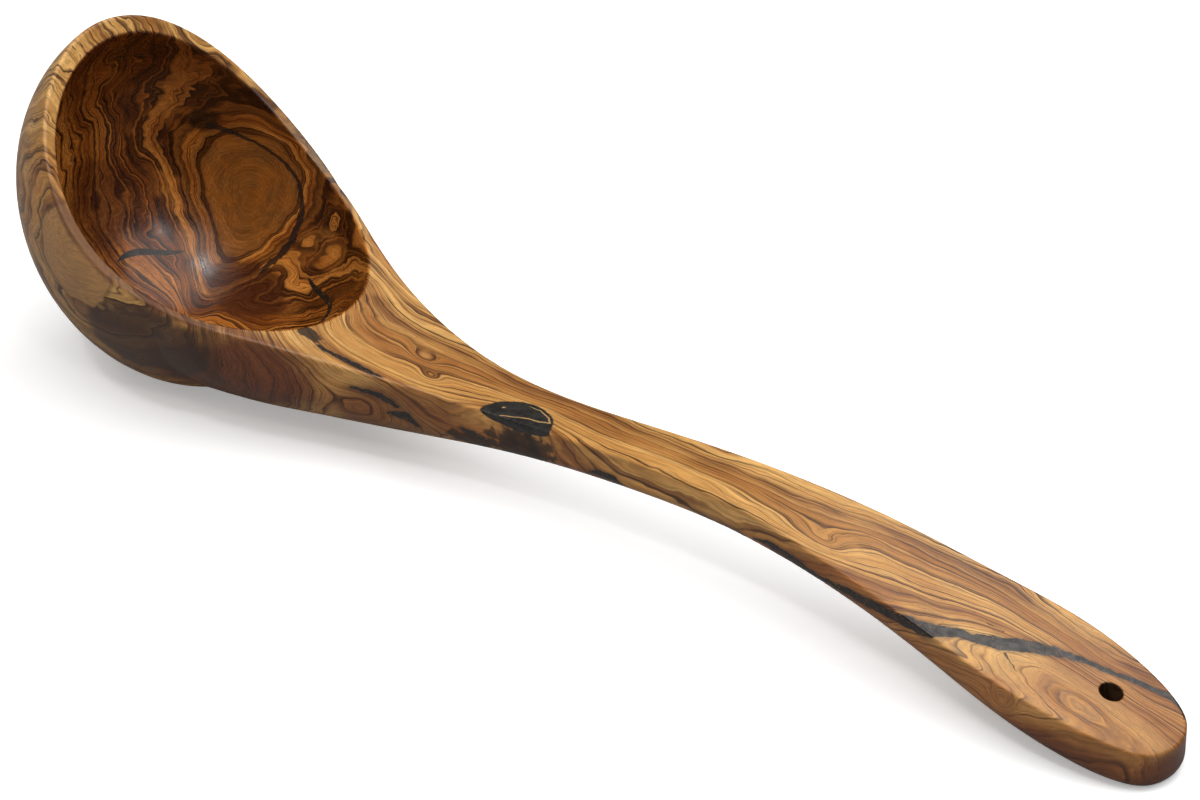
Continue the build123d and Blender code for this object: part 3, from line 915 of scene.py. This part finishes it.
# %% Where the splits run
# stops of x, y, z and half width in millimetres
splits = {
    "seam": [
        (62.5, -10.2, 24.5, 0.3),
        (78.8, -11.8, 24.4, 0.75),
        (88.9, -12.9, 24.6, 1.0),
        (98.0, -13.6, 24.1, 1.25),
        (106.6, -14.3, 24.3, 1.6),
        (111.3, -12.8, 24.0, 2.0),
        (114.6, -9.7, 23.3, 1.5),
        (118.7, -8.2, 22.5, 1.3),
        (123.5, -5.2, 21.4, 2.0),
        (128.1, -1.5, 20.4, 2.1),
        (133.3, 1.9, 19.3, 1.5),
        (138.3, 4.3, 18.1, 0.95),
        (146.0, 6.5, 16.2, 0.7),
        (152.7, 9.0, 14.4, 0.8),
        (159.1, 10.6, 12.5, 0.75),
        (162.8, 9.9, 11.4, 0.4),
    ],
    "branch": [
        (58.5, -9.6, 26.0, 0.2),
        (64.0, -10.2, 26.6, 0.9),
        (70.5, -10.9, 26.0, 0.7),
        (77, -11.6, 25.0, 0.3),
    ],
    "shoulder": [
        (-68.6, -14.6, 33.1, 0.4),
        (-60.8, -14.0, 31.8, 0.75),
        (-55, -13.5, 31, 0.7),
        (-50.2, -13.2, 30.5, 0.3),
    ],
    "upper side": [
        (-57.6, -15.9, 26.1, 0.4),
        (-53.5, -14.8, 25.7, 0.7),
        (-49.8, -13.7, 25.2, 0.85),
        (-45.7, -12.7, 23.4, 0.5),
    ],
    "lower side": [
        (-48.2, -13.4, 20.8, 0.3),
        (-45.4, -12.6, 20.9, 1.05),
        (-43.2, -12.1, 20.9, 1.0),
        (-40, -11.3, 18.8, 0.4),
    ],
    "third side": [(-28.4, -9.4, 22.0, 0.3), (-25.4, -9.0, 21.5, 0.6), (-21.5, -8.7, 20.6, 0.3)],
    "edge spot": [
        (9.6, -7.6, 23.4, 0.4),
        (12.4, -7.6, 24.2, 1.0),
        (16.0, -7.7, 24.2, 1.0),
        (19.2, -7.6, 22.8, 0.4),
    ],
}
print(len(splits), "splits,", sum(len(stops) for stops in splits.values()), "stops")

# %% Group: faults
fault_tree, fault_in, fault_out = new_group(
    "faults",
    [("Position", "vector", (0, 0, 0))],
    [("Black", "number"), ("Crack", "number"), ("Gold", "number"), ("Stained", "number")],
)
fault_at = fault_in["Position"]
fray_reach = (2.6, 1.3, 1.3)
fray = fault_tree.nodes.new("ShaderNodeTexNoise")
fray.inputs["Scale"].default_value = 0.45
fray.inputs["Detail"].default_value = 3
fault_tree.links.new(fault_at, fray.inputs["Vector"])
fray_arrow = arrow_sum(fault_tree, "SUBTRACT", fray.outputs["Color"], (0.5, 0.5, 0.5))
fray_arrow = arrow_sum(fault_tree, "MULTIPLY", fray_arrow, fray_reach)
frayed_at = arrow_sum(fault_tree, "ADD", fault_at, fray_arrow)
split_by = (split_line(fault_tree, frayed_at, stops) for stops in splits.values())
black_by = smallest(fault_tree, split_by)
black = ease(fault_tree, black_by, -0.12, 0.18, 1.0, 0.0)
stain_width = 1.3
stained = ease(fault_tree, black_by, 0.0, stain_width, 1.0, 0.0)
print("the splits stain the wood as far as", stain_width, "mm")

# %% [markdown]
# The void at the neck is not a split but a scoop out of the edge, so it is an egg
# like the patches, with a nearly sharp edge.

# %% Faults: the void
void_mask = mask_at(
    fault_tree,
    fault_at,
    centre=(-13.1, -7.9, 29.4),
    reach=(10.3, 8.2, 2.5),
    softness=0.025,
    wander=0.12,
    wander_size=3.0,
)
black = sum_of(fault_tree, "MAXIMUM", black, void_mask)
print("the void is drawn")

# %% [markdown]
# Cracks are strokes as thin as a hair. The last two lists are no cracks but the dark
# line on the eye's lid, drawn the same way.

# %% Faults: the cracks
cracks = [
    [
        (-156.8, 2.5, 73.8, 0.15),
        (-155.4, 9.9, 73.2, 0.35),
        (-151.9, 17.2, 72.5, 0.4),
        (-144.7, 25, 71, 0.1),
    ],
    [(-149.1, -9.2, 88.0, 0.2), (-147.6, -8.3, 85.0, 0.2)],
    [(-149.6, -6.8, 88.8, 0.2), (-147.8, -6.2, 85.4, 0.2)],
    [(126.3, -7.2, 20.8, 0.3), (131.4, -9.8, 19.7, 0.12)],
    [(117.9, -1.8, 22.6, 0.12), (122, -1.5, 21.8, 0.1)],
    [(162.4, 9.8, 11.4, 0.3), (164.4, 8.3, 10.8, 0.25), (166, 6.9, 10.4, 0.12)],
    [
        (-143, 31.5, 48.5, 0.9),
        (-136, 34, 46.9, 0.6),
        (-129, 35.6, 45.0, 0.5),
        (-122, 35.9, 42.9, 0.6),
        (-116.2, 34.9, 39.0, 0.7),
    ],
    [
        (-116.2, 34.9, 39.0, 0.7),
        (-113.6, 32.8, 32.0, 0.9),
        (-115, 29.6, 24.5, 1.1),
        (-118.2, 26, 18.8, 0.9),
        (-122, 22.8, 14.6, 0.4),
    ],
]
crack_by = smallest(fault_tree, (split_line(fault_tree, frayed_at, stops) for stops in cracks))
crack = ease(fault_tree, crack_by, -0.1, 0.15, 1.0, 0.0)
# the wall of the drilled hole is drawn dark
bore_by = split_line(fault_tree, fault_at, [(146.0, 1.4, 3.1, 2.8), (149.6, 1.4, 16.6, 2.8)])
crack = sum_of(fault_tree, "MAXIMUM", crack, ease(fault_tree, bore_by, -0.02, 0.25, 1.0, 0.0))
print(len(cracks), "cracks and dark lines")

# %% [markdown]
# A thin bent line of gold-brown, a thread of wood left standing, shows in the black
# of the void. It gets less fray than the splits, or it would break into dots.

# %% Faults: the gold thread
gold_stops = [
    (-17.6, -7.7, 29.0, 0.14),
    (-14.0, -6.4, 29.2, 0.16),
    (-11.1, -5.3, 29.4, 0.2),
    (-7.5, -5.0, 29.6, 0.25),
    (-5.2, -4.2, 29.8, 0.2),
    (-6.9, -2.4, 29.6, 0.2),
    (-10.7, -0.9, 29.4, 0.14),
    (-14.3, -0.7, 29.2, 0.06),
]
thin_fray = arrow_sum(fault_tree, "MULTIPLY_ADD", fray_arrow, (0.35, 0.35, 0.35), fault_at)
gold_by = split_line(fault_tree, thin_fray, gold_stops)
gold_spot = split_line(fault_tree, thin_fray, [(-19.0, -4.6, 29.1, 0.3), (-18.7, -4.4, 29.1, 0.2)])
gold_by = sum_of(fault_tree, "MINIMUM", gold_by, gold_spot)
gold_line = ease(fault_tree, gold_by, -0.06, 0.1, 1.0, 0.0)
plug(fault_tree, black, fault_out["Black"])
plug(fault_tree, crack, fault_out["Crack"])
plug(fault_tree, gold_line, fault_out["Gold"])
plug(fault_tree, stained, fault_out["Stained"])
print("faults have", len(fault_tree.nodes), "nodes")

# %% [markdown]
# ## Black resin
#
# The fills are a hard charcoal resin, sanded with the wood, so they share its satin
# gloss. They are not dead black: dust of the wood floats in them, more in the long
# seam, which has bronze flecks.

# %% Group: resin
resin_tree, resin_in, resin_out = new_group(
    "resin",
    [
        ("Position", "vector", (0, 0, 0)),
        ("Base", "colour", (0.03, 0.028, 0.025, 1)),
        ("Flecks", "number", 0.3),
    ],
    [("Colour", "colour"), ("Gloss", "number"), ("Height", "number")],
)
cloudy = cloud(resin_tree, resin_in["Position"], scale=0.5, detail=3.0)
resin_dark = seen_colour(28, 25, 23)
resin_cloud = ease(resin_tree, cloudy, 0.35, 0.7)
resin_colour = blend_colour(resin_tree, resin_cloud, resin_in["Base"], resin_dark)
dust_at = arrow_sum(resin_tree, "DIVIDE", resin_in["Position"], (0.6, 0.35, 0.35))
dust = cloud(resin_tree, dust_at, detail=1.0)
specks = ease(resin_tree, dust, 0.62, 0.7)
speck_share = times(resin_tree, specks, resin_in["Flecks"])
resin_colour = blend_colour(resin_tree, speck_share, resin_colour, seen_colour(150, 104, 58))
plug(resin_tree, resin_colour, resin_out["Colour"])
plug(resin_tree, ease(resin_tree, cloudy, 0.3, 0.7, 0.22, 0.36), resin_out["Gloss"])
plug(resin_tree, sum_of(resin_tree, "SUBTRACT", cloudy, specks), resin_out["Height"])
print("resin has", len(resin_tree.nodes), "nodes")


# %% [markdown]
# ## The finished surfaces
#
# A finish joins the three groups: wood, resin over it where the faults run, gold and
# cracks on top. The wood and every kind of fill get a finish of their own. They
# differ in the resin's colour, its flecks, and in how much of the piece is resin
# whatever the strokes say: all of it in the floor splits, which keep their outline.


# %% A finish
stain_share, crack_share, crack_depth = 0.4, 0.9, 3.0
relief_height = 0.00006
thread_gold = seen_colour(176, 140, 92)


def finish_of(name, resin_base, flecks, at_least):
    """A material that shows wood and resin, each where it belongs."""
    made = bpy.data.materials.new(name)
    made.use_nodes = True
    tree = made.node_tree
    tree.nodes.clear()
    place = tree.nodes.new("ShaderNodeTexCoord")
    point = resized(tree, place.outputs["Object"], 1000.0)
    timber = use(tree, wood_tree, position=point)
    filler = use(tree, resin_tree, position=point, base=resin_base, flecks=flecks)
    fault = use(tree, fault_tree, position=point)
    share = sum_of(tree, "MAXIMUM", fault["Black"], at_least)
    stained = times(tree, fault["Stained"], stain_share)
    cracked = times(tree, fault["Crack"], crack_share)
    colour = blend_colour(tree, stained, timber["Colour"], stain_brown)
    colour = blend_colour(tree, cracked, colour, crack_black)
    colour = blend_colour(tree, share, colour, filler["Colour"])
    colour = blend_colour(tree, fault["Gold"], colour, thread_gold)
    gloss = sum_of(tree, "SUBTRACT", filler["Gloss"], timber["Gloss"])
    gloss = sum_of(tree, "MULTIPLY_ADD", gloss, share, timber["Gloss"])
    height = sum_of(tree, "SUBTRACT", filler["Height"], timber["Height"])
    height = sum_of(tree, "MULTIPLY_ADD", height, share, timber["Height"])
    height = sum_of(tree, "MULTIPLY_ADD", fault["Crack"], -crack_depth, height)
    relief = tree.nodes.new("ShaderNodeBump")
    relief.inputs["Strength"].default_value = 0.25
    relief.inputs["Distance"].default_value = relief_height
    tree.links.new(height, relief.inputs["Height"])
    shader = tree.nodes.new("ShaderNodeBsdfPrincipled")
    shader.inputs["Specular IOR Level"].default_value = 0.42
    tree.links.new(colour, shader.inputs["Base Color"])
    tree.links.new(gloss, shader.inputs["Roughness"])
    tree.links.new(relief.outputs[0], shader.inputs["Normal"])
    end = tree.nodes.new("ShaderNodeOutputMaterial")
    tree.links.new(shader.outputs[0], end.inputs["Surface"])
    return made


print("a finish joins wood, resin, gold and cracks")

# %% The five finishes
wood = finish_of("olive wood", seen_colour(50, 44, 40), 0.35, 0.0)
edge_look = finish_of("resin with frayed edges", seen_colour(50, 44, 40), 0.35, 0.0)
seam_look = finish_of("resin of the seam", seen_colour(44, 38, 33), 0.7, 0.0)
void_look = finish_of("resin of the void", seen_colour(50, 49, 46), 0.1, 0.0)
split_look = finish_of("resin of the floor splits", seen_colour(30, 24, 19), 0.6, 1.0)
print("finishes:", [look.name for look in (wood, edge_look, seam_look, void_look, split_look)])

# %% [markdown]
# ## Finishing the pieces
#
# The solids keep their shape. Each only gets its material, in every slot it has.

# %% Materials on the solids
looks = {name: edge_look for name in ladle}
looks["ladle_body"] = wood
looks["bowl_front_split_fill"] = split_look
looks["bowl_back_split_fill"] = split_look
looks["neck_void_fill"] = void_look
looks["handle_seam_fill"] = seam_look
for name, piece in ladle.items():
    if not piece.data.materials:
        piece.data.materials.append(looks[name])
    for place in range(len(piece.material_slots)):
        piece.material_slots[place].material = looks[name]
print("materials:", {name: look.name for name, look in looks.items()})
